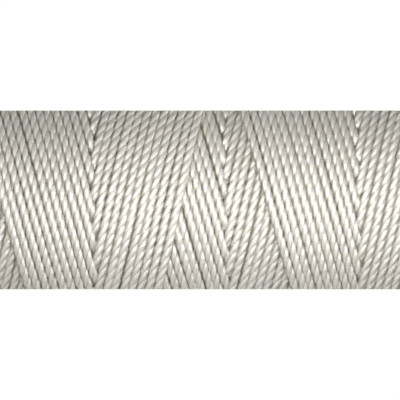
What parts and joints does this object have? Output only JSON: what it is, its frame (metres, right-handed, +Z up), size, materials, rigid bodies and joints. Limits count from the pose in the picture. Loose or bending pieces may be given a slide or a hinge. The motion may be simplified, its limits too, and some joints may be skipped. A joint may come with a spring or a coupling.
{
  "type": "waxed thread spool",
  "caption": "Flanged plastic spool of cross-wound waxed sewing thread, with a snap cap that lifts to park the free end and a round bore for a spindle.",
  "frame": {"origin": "middle of the base flange's lower face, on the spool's axis", "axes": "+Z up the spool's axis from the base flange to the snap cap, -Y towards the front, with the thread slot in the top flange 50 degrees to the left of the front"},
  "size_m": [0.043, 0.043, 0.0613],
  "materials": {
    "spool_plastic": "satin moulded",
    "label_paper": "uncoated kraft, blank",
    "waxed_thread": "satin wax"
  },
  "bodies": {
    "spool": {"barrel": "spool_plastic", "base_flange": "spool_plastic", "top_flange": "spool_plastic", "base_label": "label_paper", "inner_thread_layers": "waxed_thread", "outer_thread_layers": "waxed_thread", "thread_end": "waxed_thread", "thread_start": "waxed_thread", "start_knot": "waxed_thread"},
    "snap_cap": {"lock_cap": "spool_plastic", "cap_label": "label_paper"}
  },
  "joints": [
    {"name": "cap_lift", "type": "slide", "parent": "spool", "child": "snap_cap", "axis": [0, 0, 1], "range_m": [0, 0.0018]}
  ]
}
